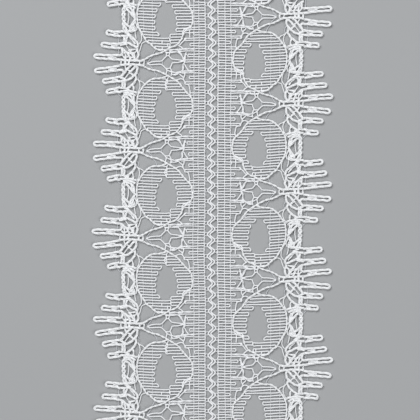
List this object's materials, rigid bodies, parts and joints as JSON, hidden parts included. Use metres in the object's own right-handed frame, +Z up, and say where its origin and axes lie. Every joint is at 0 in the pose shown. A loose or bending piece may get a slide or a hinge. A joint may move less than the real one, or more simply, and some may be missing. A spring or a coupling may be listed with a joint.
{
  "type": "raschel lace trimming",
  "caption": "Flat length of white raschel lace with barred ovals, open fans, a zigzag ladder along the middle and picot loops on both edges, for sewing on as trim.",
  "frame": {"origin": "underside of the lace at the middle of its length and width, where it lies on the surface", "axes": "+Y along the lace, up the picture; +X across it, to the picture's right; +Z up off the face"},
  "size_m": [0.0616, 0.112, 0.0015],
  "materials": {
    "white_yarn": "soft white multifilament yarn, faintly lustrous"
  },
  "bodies": {
    "root": {"lace": "white_yarn"}
  },
  "joints": []
}
